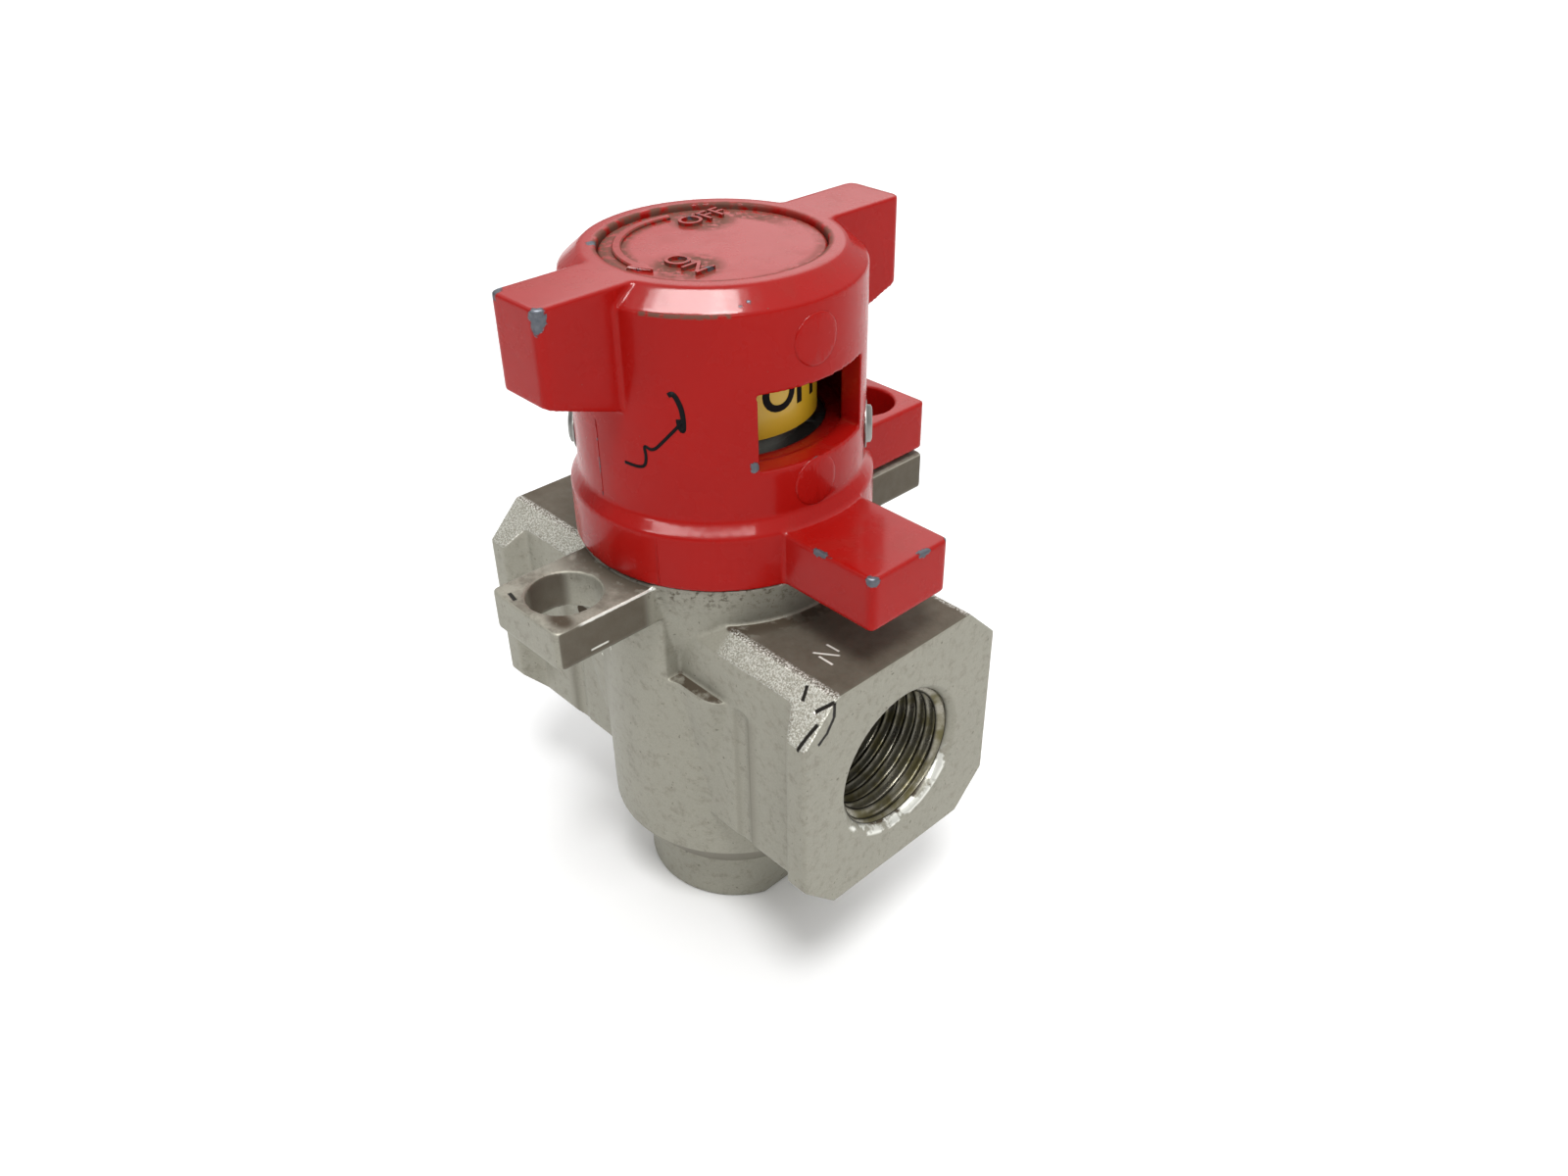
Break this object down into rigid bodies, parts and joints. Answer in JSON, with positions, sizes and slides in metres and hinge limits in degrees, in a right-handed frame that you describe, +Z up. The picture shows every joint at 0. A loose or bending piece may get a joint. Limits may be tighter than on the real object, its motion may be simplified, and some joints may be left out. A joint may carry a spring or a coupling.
{
  "type": "lockable three-port hand valve",
  "caption": "Hand-turned shut-off and vent valve: red winged knob with lock tabs and window on a die-cast body, threaded in, out and exhaust ports.",
  "frame": {"origin": "centre of the exhaust port's lower face, on which the valve stands", "axes": "+Z up the knob's axis, +X out through the outlet port, +Y towards the holed lock tab"},
  "size_m": [0.07, 0.0687, 0.1024],
  "materials": {
    "die_cast_body": "satin silver-grey paint on die-cast metal",
    "red_paint": "glossy red paint",
    "steel": "plain",
    "dark_steel": "blackened",
    "rubber": "matte",
    "resin": "moulded",
    "brass": "turned",
    "vent_label": "yellow film",
    "open_label": "green film"
  },
  "bodies": {
    "body": {"valve_body": "die_cast_body", "exhaust_cap": "die_cast_body", "exhaust_cap_o_ring": "rubber", "return_spring": "steel", "bonnet": "resin", "bonnet_o_ring": "rubber", "stem_o_ring": "rubber", "bonnet_screws": "dark_steel", "thrust_washer": "brass", "retaining_ring": "dark_steel", "indicator_drum": "resin", "drum_screw": "steel", "label_vent": "vent_label", "label_open": "open_label"},
    "knob": {"knob": "red_paint", "knob_cap": "red_paint", "knob_screws": "steel", "cam_sleeve": "steel"},
    "stem": {"stem": "steel", "cross_pin": "steel", "poppet": "brass", "upper_seal": "rubber", "lower_seal": "rubber", "seal_retainer": "steel", "poppet_nut": "brass"}
  },
  "joints": [
    {"name": "knob_turn", "type": "hinge", "parent": "body", "child": "knob", "pos_m": [0, 0, 0.08], "axis": [0, 0, 1], "range_deg": [0, 90]},
    {"name": "stem_slide", "type": "slide", "parent": "body", "child": "stem", "axis": [0, 0, 1], "range_m": [-0.006, 0], "deforming": ["return_spring"]}
  ],
  "couplings": [
    {"joint": "stem_slide", "follows": "knob_turn", "m_per_rad": -0.003819}
  ]
}
